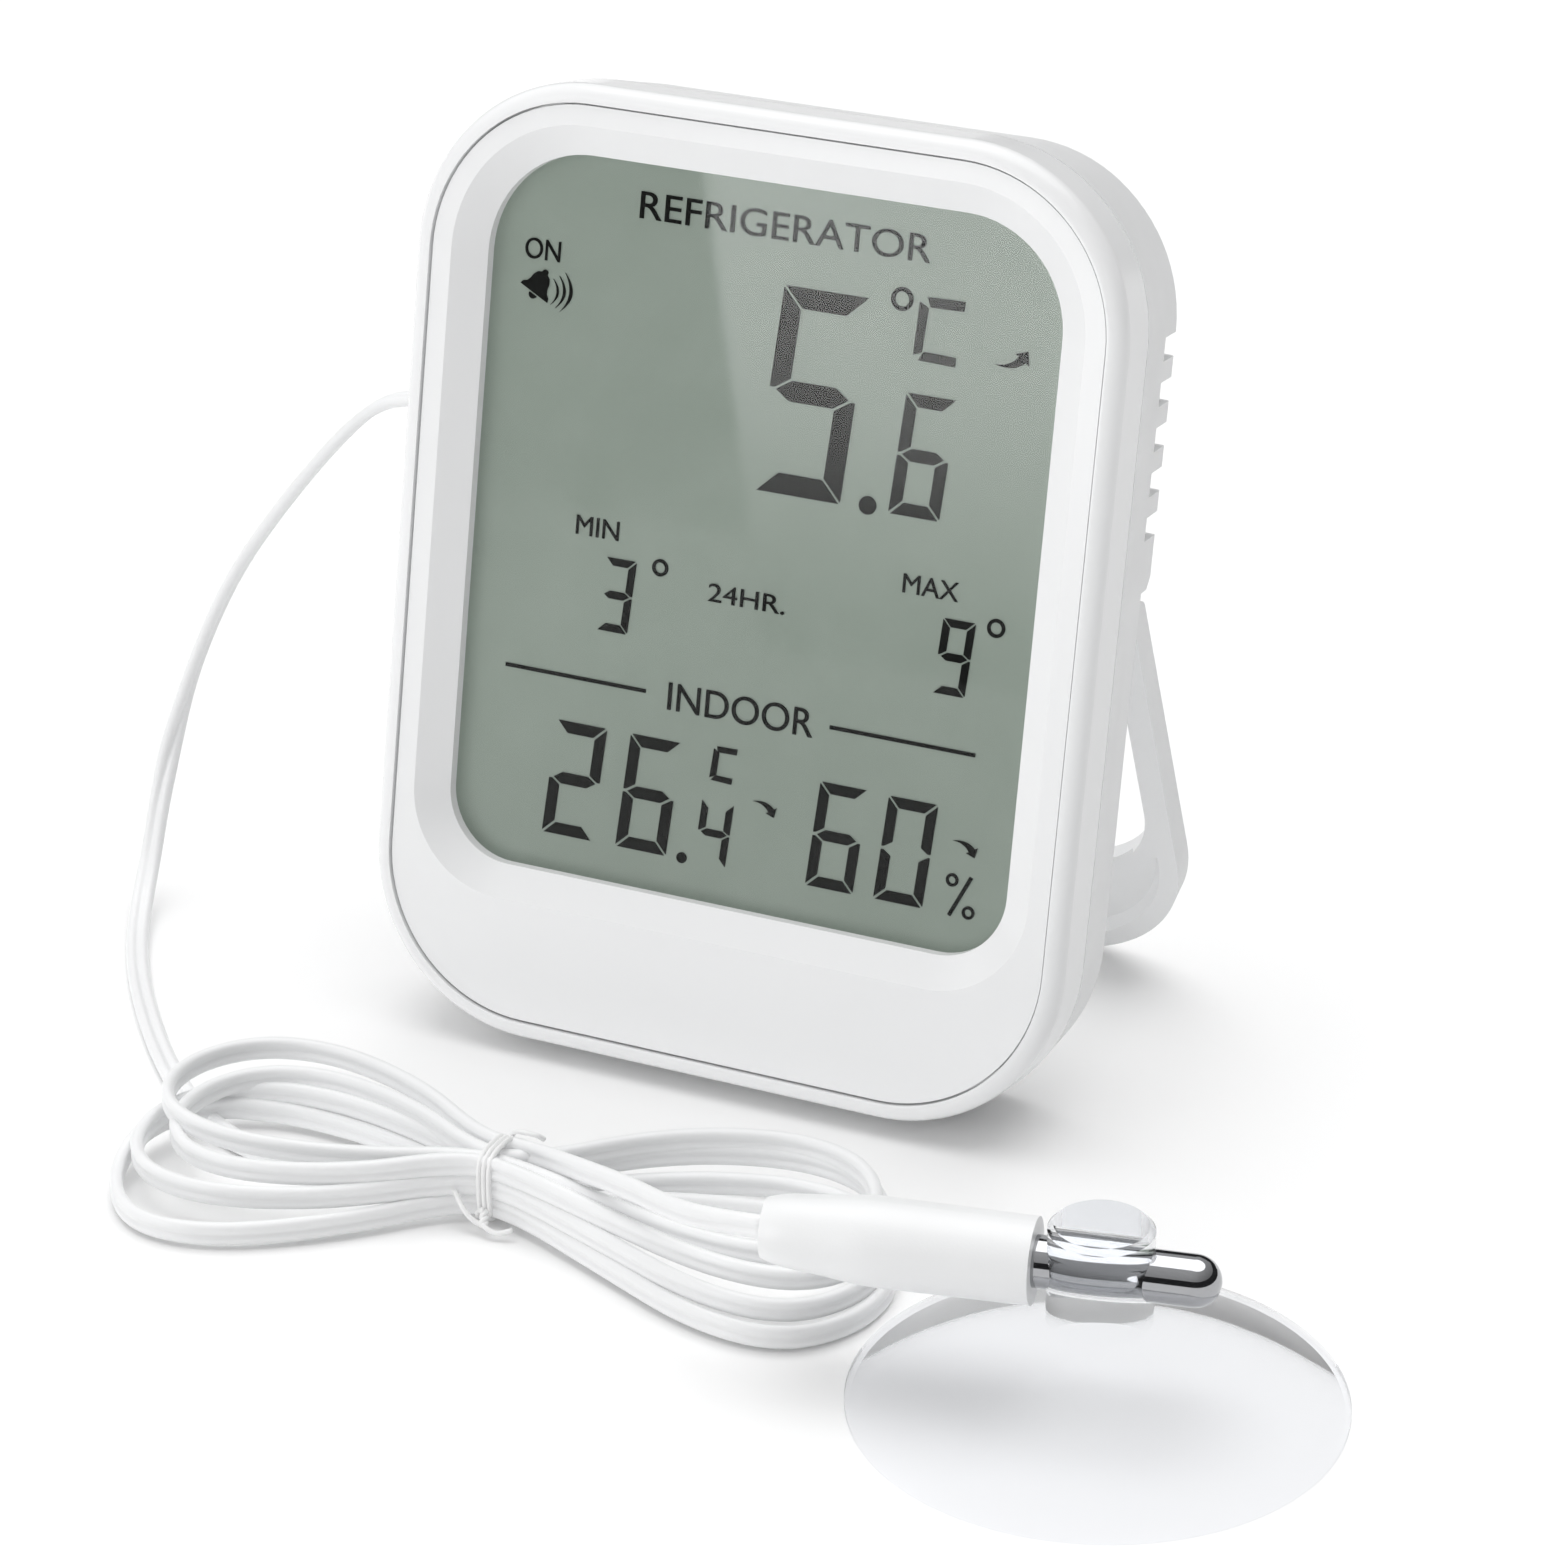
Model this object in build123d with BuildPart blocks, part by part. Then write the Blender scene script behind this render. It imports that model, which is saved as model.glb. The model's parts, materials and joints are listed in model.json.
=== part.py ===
from build123d import *
import os
from math import atan2, cos, degrees, radians, sin, tan

# Maximum minimum thermometer: a leaning case with a fold-out stand, a twin
# cord tied in a hank, and a steel probe held by a clear suction cup.
# Millimetres. +Z is up, the display faces -Y, and the origin lies on the
# table under the middle of the standing case.

# --- Driving dimensions: the case, seen square on -------------------------
case_w = 70.0  # over the seam
case_h = 90.0
case_r = 16.7  # corner radius at the seam
rim_w = 1.7  # bright rim around the front panel
rim_proud = 0.3
rim_gap = 0.2  # dark line between the rim and the panel
rim_round = 1.5
seam_depth = 5.4  # depths are measured back from the front panel
seam_gap, seam_inset = 0.4, 0.8  # shadow line behind the seam
base_depth = 12.9  # back of the lower half
bump_depth = 16.2  # back of the upper half
bump_bottom = 4.9
back_round = 0.4
bump_chamfer = 1.4
wall = 1.6
draft = degrees(atan2(0.9, base_depth - seam_depth))

# --- Driving dimensions: the standing pose --------------------------------
lean = radians(11.9)  # the case leans back
stand_open = 35.4  # angle between the stand and the case's back
front_y = -13.15  # where the middle of the front panel stands

# --- Driving dimensions: window and display -------------------------------
window_half_w = 28.35
window_top = 38.4
window_bottom = -28.9
window_top_r = 10.0
window_bottom_r = 6.5
window_depth = 1.9
bevel = 2.85
lens_depth = 3.0
lens_t = 0.8
lcd_depth = 4.0
lcd_t = 2.1
board_depth = 7.2
board_t = 1.0

# --- Driving dimensions: stand --------------------------------------------
stand_half_w = 33.6
stand_t = 2.8
stand_r = 16.0
hinge_y = 2.4
hinge_depth = 14.6
barrel_r = 1.4
hinge_pin_r = 0.75
lug_x = 20.0
lug_w = 5.0

# --- Driving dimensions: back of the case ---------------------------------
door_x, door_y = -9.4, 24.0
door_r = 11.9
coin_r = 10.0
coin_t = 3.2
button_x = 14.0
button_r = 2.4
button_rows = {"max_min": 35.0, "clear": 27.5, "unit": 20.0, "alarm": 12.5}
button_travel = 0.5
vent_pitch = 4.1
vent_w = 2.2
vent_floor = 12.1  # how far in from the back the slots reach
vent_count = 5
vent_y = 19.1

# --- Driving dimensions: cord, probe and suction cup ----------------------
cord_d = 2.2  # width of the flat twin cord
gland_y = 12.2
gland_depth = 8.9
cup_x, cup_y = 53.8, -55.7
cup_r = 21.2
dome_h = 8.4
knob_r = 4.5
knob_top = 17.3
probe_z = 13.0
probe_yaw = 11.2
tube_r = 2.25
tube_end = 10.15  # the tip, from the knob's middle
sleeve_end = -5.5
sleeve_start = -28.6
sleeve_r = 3.85
sleeve_neck_r = 2.6

# --- Frames ---------------------------------------------------------------
half_w, half_h = case_w / 2, case_h / 2
foot_half_h = half_h - 0.9  # the drafted lower edge that the case stands on
front_z = foot_half_h * cos(lean) + base_depth * sin(lean)
BACK = Vector(0, cos(lean), -sin(lean))
UP = Vector(0, sin(lean), cos(lean))
FACE = Plane(origin=(0, front_y, front_z), x_dir=(1, 0, 0), z_dir=-BACK)
SIDE = Plane(origin=FACE.origin, x_dir=BACK, z_dir=(1, 0, 0))


def depth(d):
    """The plane parallel to the front panel, d behind it."""
    return FACE.offset(-d)


def across(x):
    """The side-view plane at x: its own x is depth, its own y is height."""
    return SIDE.offset(x)


hinge = FACE.from_local_coords((0, hinge_y, -hinge_depth))
swing = lean - radians(stand_open)
STAND_DOWN = Vector(0, -sin(swing), -cos(swing))
STAND_SIDE = Plane(
    origin=hinge, x_dir=Vector(0, cos(swing), -sin(swing)), z_dir=(1, 0, 0)
)
STAND_FACE = Plane(
    origin=hinge, x_dir=(1, 0, 0), z_dir=Vector(0, -cos(swing), sin(swing))
)
# The stand reaches the table with the lower edge of its back face.
stand_len = (hinge.Z - stand_t / 2 * sin(-swing)) / cos(swing)

PROBE = Plane(
    origin=(cup_x, cup_y, probe_z),
    x_dir=(cos(radians(probe_yaw)), sin(radians(probe_yaw)), 0),
    z_dir=(sin(radians(probe_yaw)), -cos(radians(probe_yaw)), 0),
)
PROBE_END = Plane(origin=PROBE.origin, x_dir=(0, 0, 1), z_dir=PROBE.x_dir)

os.makedirs("parts", exist_ok=True)


def save(builder, label):
    """Name a finished piece and write it as one STEP file."""
    builder.part.label = label
    export_step(builder.part, f"parts/{label}.step")
    print(label, round(builder.part.volume, 2))


def window_sketch(d, grow, top_r=window_top_r, bottom_r=window_bottom_r):
    """The window's outline at depth d, grown on every side."""
    height = window_top - window_bottom + 2 * grow
    with BuildSketch(depth(d)) as outline:
        with Locations((0, (window_top + window_bottom) / 2)):
            Rectangle(2 * (window_half_w + grow), height)
        corners = outline.vertices().group_by(Axis.Y)
        fillet(corners[-1], top_r + grow)
        corners = outline.vertices().sort_by(Axis.Y)[:2]
        fillet(corners, bottom_r + grow)
    return outline.sketch


def display_sketch(d, grow, chamfered=3.5):
    """The display glass outline at depth d: square below, cut corners above."""
    low, high = -31.4 - grow, 38.9 + grow
    with BuildSketch(depth(d)) as outline:
        with Locations((0, (low + high) / 2)):
            Rectangle(2 * (28.9 + grow), high - low)
        chamfer(outline.vertices().group_by(Axis.Y)[-1], chamfered + 0.4 * grow)
    return outline.sketch


# === Case =================================================================

panel_half_w, panel_half_h = half_w - rim_w - rim_gap, half_h - rim_w - rim_gap
rebate = 2.2  # thickness of the panel where it lies on the shell's ledge
panel_t = lens_depth + lens_t + 0.1
screw_spots = [(-25, -37), (25, -37)]
standoff_spots = [(-14, -37), (14, -37)]

with BuildPart() as front_bezel:
    with BuildSketch(depth(0)):
        RectangleRounded(2 * panel_half_w, 2 * panel_half_h, 15 - rim_gap)
    extrude(amount=-rebate)
    with BuildSketch(depth(rebate)):
        RectangleRounded(63, 83, 13.2)
    extrude(amount=rebate - panel_t)
    bevel_mouth = window_sketch(0, bevel)
    window_edge = window_sketch(window_depth, 0)
    loft(sections=[bevel_mouth, window_edge], mode=Mode.SUBTRACT)
    extrude(window_sketch(window_depth, 0), amount=-4, mode=Mode.SUBTRACT)
    extrude(window_sketch(lens_depth, 1.35), amount=-4, mode=Mode.SUBTRACT)
    with BuildSketch(depth(panel_t)):
        with Locations(*standoff_spots):
            Circle(2.4)
    extrude(amount=panel_t - board_depth + 0.05)
    with BuildSketch(depth(panel_t)):
        with Locations(*screw_spots):
            Circle(2.8)
    extrude(amount=panel_t - 9.0)
    with BuildSketch(depth(9.0)):
        with Locations(*screw_spots):
            Circle(0.9)
        with Locations(*standoff_spots):
            Circle(0.7)
    extrude(amount=6, mode=Mode.SUBTRACT)
save(front_bezel, "front_bezel")

with BuildPart() as front_shell:
    with BuildSketch(depth(seam_depth)):
        RectangleRounded(case_w, case_h, case_r)
    extrude(amount=seam_depth + rim_proud)
    front_face = front_shell.faces().sort_by(Axis(FACE.origin, -BACK))[-1]
    fillet(front_face.edges(), rim_round)
    with BuildSketch(depth(rebate)):
        RectangleRounded(case_w - 2 * rim_w, case_h - 2 * rim_w, 15)
    extrude(amount=6, mode=Mode.SUBTRACT)
    with BuildSketch(depth(seam_depth)):
        RectangleRounded(case_w - 2 * rim_w, case_h - 2 * rim_w, 15)
    extrude(amount=2.0, mode=Mode.SUBTRACT)
    with BuildSketch(depth(seam_depth)):
        RectangleRounded(63.6, 83.6, 13.5)
    extrude(amount=8, mode=Mode.SUBTRACT)
save(front_shell, "front_shell")

cavity_half_w = 22.5
cavity_top = 41.0
cavity_end = bump_depth - wall
floor_depth = base_depth - wall
recess_depth = bump_depth - 0.9

with BuildPart() as rear_cover:
    with BuildSketch(depth(seam_depth)):
        RectangleRounded(case_w, case_h, case_r)
    extrude(amount=seam_depth - bump_depth, taper=draft)
    back_face = rear_cover.faces().sort_by(Axis(FACE.origin, BACK))[-1]
    fillet(back_face.edges(), back_round)
    # The lower half steps in, and the bump ends in a chamfer above the stand.
    with BuildSketch(across(0)):
        with BuildLine():
            Polyline(
                (base_depth, bump_bottom),
                (bump_depth - bump_chamfer, bump_bottom),
                (bump_depth + 0.2, bump_bottom + bump_chamfer + 0.2),
                (bump_depth + 4, bump_bottom + bump_chamfer + 0.2),
                (bump_depth + 4, -50),
                (base_depth, -50),
                close=True,
            )
        make_face()
    extrude(amount=40, both=True, mode=Mode.SUBTRACT)
    # Vent slots run in from both sides of the bump.
    with BuildSketch(depth(vent_floor)):
        with Locations((0, vent_y)):
            with GridLocations(61.2, vent_pitch, 2, vent_count):
                Rectangle(12, vent_w)
    extrude(amount=-6, mode=Mode.SUBTRACT)
    # Inside: a tray over the whole case, deeper behind the bump.
    with BuildSketch(depth(seam_depth)):
        RectangleRounded(case_w - 2 * wall, case_h - 2 * wall, case_r - wall)
    extrude(amount=seam_depth - floor_depth, taper=draft, mode=Mode.SUBTRACT)
    with BuildSketch(depth(floor_depth)):
        with Locations((0, (cavity_top + bump_bottom + wall) / 2)):
            Rectangle(2 * cavity_half_w, cavity_top - bump_bottom - wall)
    extrude(amount=floor_depth - cavity_end, mode=Mode.SUBTRACT)
    with BuildSketch(depth(floor_depth)):
        with Locations((0, vent_y)):
            with GridLocations(55.0, vent_pitch, 2, vent_count):
                Circle(0.5)
            with GridLocations(60.0, vent_pitch, 2, vent_count):
                Circle(0.5)
    extrude(amount=-3, mode=Mode.SUBTRACT)
    # Battery door seat with two bayonet entries, and the button holes.
    with BuildSketch(depth(recess_depth)):
        with Locations((door_x, door_y)):
            Circle(door_r + 0.25)
    extrude(amount=-4, mode=Mode.SUBTRACT)
    with BuildSketch(depth(floor_depth)):
        with Locations((door_x, door_y)):
            Circle(10.9)
            with PolarLocations(11.0, 2, start_angle=45):
                Rectangle(2.4, 5.4)
        for row in button_rows.values():
            with Locations((button_x, row)):
                Circle(button_r + 0.2)
    extrude(amount=-8, mode=Mode.SUBTRACT)
    # Screw pillars under the stand, and the lugs that carry it.
    with BuildSketch(depth(9.05)):
        with Locations(*screw_spots):
            Circle(3.2)
    extrude(amount=9.05 - base_depth)
    with BuildSketch(depth(8.0)):
        with Locations(*screw_spots):
            Circle(1.25)
    extrude(amount=-8, mode=Mode.SUBTRACT)
    with BuildSketch(depth(10.6)):
        with Locations(*screw_spots):
            Circle(2.4)
    extrude(amount=-8, mode=Mode.SUBTRACT)
    for lug_side in (-lug_x, lug_x):
        with BuildSketch(across(lug_side - lug_w / 2)):
            with Locations((hinge_depth, hinge_y)):
                Circle(barrel_r)
            with Locations((base_depth + (hinge_depth - base_depth) / 2 - 0.1, hinge_y)):
                Rectangle(hinge_depth - base_depth + 0.2, 2 * barrel_r)
        extrude(amount=lug_w)
        with BuildSketch(across(lug_side - lug_w)):
            with Locations((hinge_depth, hinge_y)):
                Circle(hinge_pin_r)
        extrude(amount=2 * lug_w, mode=Mode.SUBTRACT)
    # The cord's gland sits in a hole in the left side.
    with BuildSketch(across(-half_w - 2)):
        with Locations((gland_depth, gland_y)):
            Circle(1.9)
    extrude(amount=6, mode=Mode.SUBTRACT)
    # A shadow gap along the seam.
    with BuildSketch(depth(seam_depth)):
        RectangleRounded(case_w + 2, case_h + 2, case_r + 1)
        RectangleRounded(
            case_w - 2 * seam_inset, case_h - 2 * seam_inset, case_r - seam_inset,
            mode=Mode.SUBTRACT,
        )
    extrude(amount=-seam_gap, mode=Mode.SUBTRACT)
save(rear_cover, "rear_cover")

# === Display and circuit board ============================================

with BuildPart() as display_lens:
    extrude(window_sketch(lens_depth, 1.2), amount=-lens_t)
save(display_lens, "display_lens")

with BuildPart() as lcd_panel:
    extrude(display_sketch(lcd_depth, 0), amount=-lcd_t)
save(lcd_panel, "lcd_panel")

strip_y = -29.6
holder_end = board_depth - 0.05

with BuildPart() as lcd_holder:
    extrude(display_sketch(lcd_depth - 0.05, 1.3), amount=lcd_depth - 0.05 - holder_end)
    extrude(
        display_sketch(lcd_depth - 0.05, 0.1), amount=-lcd_t - 0.1, mode=Mode.SUBTRACT
    )
    with BuildSketch(depth(lcd_depth)):
        with Locations((0, 6)):
            Rectangle(50, 56)
        with Locations((0, strip_y)):
            Rectangle(54.4, 2.4)
    extrude(amount=-5, mode=Mode.SUBTRACT)
save(lcd_holder, "lcd_holder")

with BuildPart() as zebra_strip:
    with BuildSketch(depth(lcd_depth + lcd_t + 0.02)):
        with Locations((0, strip_y)):
            Rectangle(54, 2)
    extrude(amount=lcd_depth + lcd_t + 0.04 - board_depth)
save(zebra_strip, "zebra_strip")

board_back = board_depth + board_t

with BuildPart() as circuit_board:
    with BuildSketch(depth(board_depth)) as board_outline:
        with Locations((0, -0.5)):
            Rectangle(59, 79)
        chamfer(board_outline.vertices().group_by(Axis.Y)[-1], 8)
        chamfer(board_outline.vertices().group_by(Axis.Y)[0], 12.5)
        with Locations(*standoff_spots):
            Circle(1.1, mode=Mode.SUBTRACT)
    extrude(amount=-board_t)
save(circuit_board, "circuit_board")

with BuildPart() as controller_chip:
    with BuildSketch(depth(board_back + 0.02)):
        with Locations((-12, -12)):
            Circle(6)
    extrude(amount=-1.2)
    chip_back = controller_chip.faces().sort_by(Axis(FACE.origin, BACK))[-1]
    fillet(chip_back.edges(), 0.9)
save(controller_chip, "controller_chip")

with BuildPart() as piezo_buzzer:
    with BuildSketch(depth(board_back + 0.02)):
        with Locations((12, -14)):
            Circle(6)
    extrude(amount=-2.2)
    with BuildSketch(depth(board_back + 1.4)):
        with Locations((12, -14)):
            Circle(0.8)
    extrude(amount=-3, mode=Mode.SUBTRACT)
save(piezo_buzzer, "piezo_buzzer")

with BuildPart() as humidity_sensor:
    with BuildSketch(depth(board_back + 0.02)):
        with Locations((25.5, 14)):
            RectangleRounded(5, 5, 0.4)
    extrude(amount=-1.8)
save(humidity_sensor, "humidity_sensor")

switch_end = 12.4

with BuildPart() as tact_switches:
    with BuildSketch(depth(board_back + 0.02)):
        for row in button_rows.values():
            with Locations((button_x, row)):
                Rectangle(6, 6)
    extrude(amount=-3.3)
    with BuildSketch(depth(board_back + 3.2)):
        for row in button_rows.values():
            with Locations((button_x, row)):
                Circle(1.7)
    extrude(amount=board_back + 3.2 - switch_end)
save(tact_switches, "tact_switches")


def push_button(row):
    """One push button: a cap with a retaining flange and a stem."""
    with BuildPart() as button:
        with BuildSketch(depth(13.8)):
            with Locations((button_x, row)):
                Circle(3.1)
        extrude(amount=-0.7)
        with BuildSketch(depth(13.8)):
            with Locations((button_x, row)):
                Circle(button_r)
        extrude(amount=13.8 - bump_depth - 0.6)
        cap = button.faces().sort_by(Axis(FACE.origin, BACK))[-1]
        fillet(cap.edges(), 0.35)
        with BuildSketch(depth(switch_end + button_travel + 0.1)):
            with Locations((button_x, row)):
                Circle(1.5)
        extrude(amount=switch_end + button_travel + 0.1 - 14.0)
    return button


for button_name, button_row in button_rows.items():
    save(push_button(button_row), f"button_{button_name}")

# === Battery ==============================================================

with BuildPart() as battery_tray:
    with BuildSketch(depth(board_back + 0.02)):
        with Locations((door_x, door_y)):
            Circle(11.4)
    extrude(amount=board_back + 0.02 - 13.4)
    with BuildSketch(depth(9.0)):
        with Locations((door_x, door_y)):
            Circle(10.3)
    extrude(amount=-6, mode=Mode.SUBTRACT)
    with BuildSketch(depth(9.0)):
        with Locations((door_x - 10.8, door_y)):
            Rectangle(2.4, 4.4)
    extrude(amount=-6, mode=Mode.SUBTRACT)
save(battery_tray, "battery_tray")

coin_front = 10.3

with BuildPart() as coin_cell:
    with BuildSketch(depth(coin_front)):
        with Locations((door_x, door_y)):
            Circle(coin_r - 1.2)
    extrude(amount=-0.4)
    with BuildSketch(depth(coin_front + 0.4)):
        with Locations((door_x, door_y)):
            Circle(coin_r)
    extrude(amount=0.4 - coin_t)
    coin_back = coin_cell.faces().sort_by(Axis(FACE.origin, BACK))[-1]
    fillet(coin_back.edges(), 0.4)
save(coin_cell, "coin_cell")

with BuildPart() as contact_negative:
    with BuildSketch(across(door_x - 2)):
        with BuildLine():
            Polyline(
                (9.05, door_y - 6),
                (9.35, door_y - 6),
                (9.35, door_y - 4),
                (coin_front - 0.02, door_y + 1),
                (coin_front - 0.02, door_y + 3),
                (coin_front - 0.32, door_y + 3),
                (coin_front - 0.32, door_y + 1.2),
                (9.05, door_y - 3.8),
                close=True,
            )
        make_face()
    extrude(amount=4)
save(contact_negative, "battery_contact_negative")

with BuildPart() as contact_positive:
    with BuildSketch(depth(9.1)):
        with Locations((door_x - 10.45, door_y)):
            Rectangle(0.3, 3.6)
    extrude(amount=9.1 - 13.2)
    with BuildSketch(depth(9.1)):
        with Locations((door_x - 9.9, door_y)):
            Rectangle(1.4, 3.6)
    extrude(amount=-0.3)
save(contact_positive, "battery_contact_positive")

with BuildPart() as battery_door:
    with BuildSketch(depth(recess_depth + 0.05)):
        with Locations((door_x, door_y)):
            Circle(door_r)
    extrude(amount=recess_depth + 0.05 - bump_depth)
    with BuildSketch(depth(13.75)):
        with Locations((door_x, door_y)):
            Circle(10.55)
    extrude(amount=13.75 - recess_depth - 0.1)
    with BuildSketch(depth(13.75)):
        with Locations((door_x, door_y)):
            with PolarLocations(10.9, 2):
                Rectangle(1.7, 4.6)
    extrude(amount=-0.7)
    with BuildSketch(depth(bump_depth - 0.7)):
        with Locations((door_x, door_y)):
            SlotOverall(13, 1.8)
    extrude(amount=-2, mode=Mode.SUBTRACT)
save(battery_door, "battery_door")

# === Screws and pins ======================================================

with BuildPart() as case_screws:
    with BuildSketch(depth(5.2)):
        with Locations(*screw_spots):
            Circle(0.9)
    extrude(amount=5.2 - 10.7)
    with BuildSketch(depth(10.65)):
        with Locations(*screw_spots):
            Circle(2.1)
    extrude(amount=-1.4)
    for spot in screw_spots:
        with BuildSketch(depth(11.4)):
            with Locations(spot):
                Rectangle(2.6, 0.5)
                Rectangle(0.5, 2.6)
        extrude(amount=-2, mode=Mode.SUBTRACT)
save(case_screws, "case_screws")

with BuildPart() as board_screws:
    with BuildSketch(depth(5.0)):
        with Locations(*standoff_spots):
            Circle(0.7)
    extrude(amount=5.0 - board_back - 0.1)
    with BuildSketch(depth(board_back + 0.03)):
        with Locations(*standoff_spots):
            Circle(1.7)
    extrude(amount=-0.9)
save(board_screws, "board_screws")

with BuildPart() as stand_pins:
    for lug_side in (-lug_x, lug_x):
        with BuildSketch(across(lug_side - 6)):
            with Locations((hinge_depth, hinge_y)):
                Circle(hinge_pin_r)
        extrude(amount=12)
save(stand_pins, "stand_pins")

# === Stand ================================================================

stand_rim = 2.5  # width of the loop's sides
hole_top, hole_bottom = -7.0, -36.5
hole_top_r, hole_bottom_r = 2.0, 10.5
scoop_rim = 1.9  # left round the finger scoop
scoop_deep = 1.1
scoop_slope = 35
scoop_lip = 1.0  # left between the window and the scoop
scoop_top = -32.0
heel_reach = hinge_depth - base_depth - 0.04
heel = (
    -heel_reach * cos(radians(stand_open)),
    heel_reach * sin(radians(stand_open)),
)



def loop_window(grow):
    """The outline of the window in the loop, rounder below, grown on every side."""
    with BuildSketch(STAND_FACE.offset(stand_t / 2)) as outline:
        with Locations((0, (hole_top + hole_bottom) / 2)):
            window_w = 2 * (stand_half_w - stand_rim + grow)
            Rectangle(window_w, hole_top - hole_bottom + 2 * grow)
        fillet(outline.vertices().group_by(Axis.Y)[-1], hole_top_r + grow)
        fillet(outline.vertices().sort_by(Axis.Y)[:2], hole_bottom_r + grow)
    return outline.sketch


with BuildPart() as stand:
    with BuildSketch(STAND_FACE.offset(stand_t / 2)) as plate_outline:
        with Locations((0, -stand_len / 2)):
            Rectangle(2 * stand_half_w, stand_len)
        fillet(plate_outline.vertices().group_by(Axis.Y)[0], stand_r)
    extrude(amount=-stand_t)
    # A round barrel closes the top, with a heel that stops on the case.
    with BuildSketch(STAND_SIDE.offset(-stand_half_w)):
        Circle(barrel_r)
        with BuildLine():
            Polyline((0, 0), (-barrel_r, 0), heel, (0, barrel_r), close=True)
        make_face()
    extrude(amount=2 * stand_half_w)
    extrude(loop_window(0), amount=-stand_t, mode=Mode.SUBTRACT)
    # A shallow finger scoop below the window, inside the loop's outline.
    with BuildSketch(STAND_FACE.offset(stand_t / 2)) as scoop_outline:
        with Locations((0, -stand_len / 2)):
            Rectangle(2 * (stand_half_w - scoop_rim), stand_len - 2 * scoop_rim)
        fillet(scoop_outline.vertices().group_by(Axis.Y)[0], stand_r - scoop_rim)
        add(loop_window(scoop_lip), mode=Mode.SUBTRACT)
        with Locations((0, scoop_top / 2)):
            Rectangle(3 * stand_half_w, -scoop_top, mode=Mode.SUBTRACT)
    extrude(amount=-scoop_deep, taper=scoop_slope, mode=Mode.SUBTRACT)
    # Gaps for the case's lugs, and holes for the pins.
    for lug_side in (-lug_x, lug_x):
        with BuildSketch(STAND_FACE.offset(stand_t)):
            with Locations((lug_side, 0)):
                Rectangle(lug_w + 0.6, 4.2)
        extrude(amount=-2 * stand_t, mode=Mode.SUBTRACT)
        with BuildSketch(STAND_SIDE.offset(lug_side - 6.2)):
            Circle(hinge_pin_r + 0.06)
        extrude(amount=12.4, mode=Mode.SUBTRACT)
save(stand, "stand")

# === Cord =================================================================

gland_end = -35.4
gland = FACE.from_local_coords((gland_end, gland_y, -gland_depth))

with BuildPart() as cord_gland:
    with BuildSketch(across(-31.0)):
        with Locations((gland_depth, gland_y)):
            Circle(1.85)
    extrude(amount=gland_end + 31.0)
    with BuildSketch(across(gland_end)):
        with Locations((gland_depth, gland_y)):
            Circle(2.3)
    extrude(amount=0.7)
    with BuildSketch(across(-32.6)):
        with Locations((gland_depth, gland_y)):
            Circle(2.25)
    extrude(amount=1.6)
save(cord_gland, "cord_gland")


def cord_tube(points, name):
    """A round tube along straight runs joined by the largest tangent arcs."""
    runs = [b - a for a, b in zip(points, points[1:])]
    radii = []
    for first, second in zip(runs, runs[1:]):
        turn = radians(first.get_angle(second))
        radii.append(0.45 * min(first.length, second.length) / tan(turn / 2))
    print(name, "radii", [round(r, 1) for r in radii])
    with BuildPart() as tube:
        with BuildLine() as path:
            FilletPolyline(*points, radius=radii)
        start = Plane(origin=points[0], z_dir=runs[0])
        with BuildSketch(start):
            Circle(cord_d / 2)
        sweep(path=path.wires()[0])
    length = path.wires()[0].length
    section = 3.14159 * (cord_d / 2) ** 2
    print(name, "length", round(length, 1), "volume ratio", tube.part.volume / (section * length))
    return tube


lead_route = [
    gland,
    Vector(-39.0, -1.9, 55.8),
    Vector(-42.9, -1.9, 54.3),
    Vector(-47.4, -1.9, 49.9),
    Vector(-53.4, -1.9, 42.6),
    Vector(-59.4, -2.0, 34.2),
    Vector(-63.8, -2.4, 25.0),
    Vector(-66.5, -3.4, 16.4),
    Vector(-67.4, -5.2, 9.8),
    Vector(-66.8, -8.4, 5.0),
    Vector(-65.2, -12.8, 2.3),
    Vector(-62.6, -18.2, 1.4),
    Vector(-58.4, -24.8, 1.3),
    Vector(-52.8, -32.0, 1.3),
    Vector(-47.0, -38.6, 1.4),
    Vector(-42.0, -43.6, 1.7),
    Vector(-37.4, -47.4, 2.2),
]
cord_lead = cord_tube(lead_route, "cord_lead")
save(cord_lead, "cord_lead")

# The hank's outer shape: station x, its near and far y, its low and high z.
hank_stations = [
    (-41.4, -57.5, -49.5, 0.1, 6.4),
    (-38.0, -63.3, -42.2, 0.1, 7.1),
    (-32.0, -66.4, -38.6, 0.1, 7.1),
    (-25.0, -65.2, -38.9, 0.1, 7.0),
    (-18.0, -60.7, -40.9, 0.1, 6.9),
    (-12.0, -55.3, -44.2, 0.3, 6.95),
    (-9.0, -52.0, -46.6, 0.6, 6.95),
    (-3.6, -52.0, -46.6, 0.6, 6.95),
    (0.0, -53.2, -43.2, 0.3, 6.9),
    (5.0, -55.3, -39.2, 0.1, 6.8),
    (12.0, -58.2, -36.0, 0.1, 6.8),
    (20.0, -60.6, -35.2, 0.1, 6.9),
    (27.0, -60.0, -38.4, 0.1, 6.9),
    (31.4, -54.2, -45.6, 0.1, 3.6),
]
hank_corner = 1.4

with BuildPart() as cord_hank:
    for station, near, far, low, high in hank_stations:
        with BuildSketch(Plane.YZ.offset(station)):
            with Locations(((near + far) / 2, (low + high) / 2)):
                RectangleRounded(far - near, high - low, hank_corner)
    loft(ruled=True)
save(cord_hank, "cord_hank")

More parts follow.
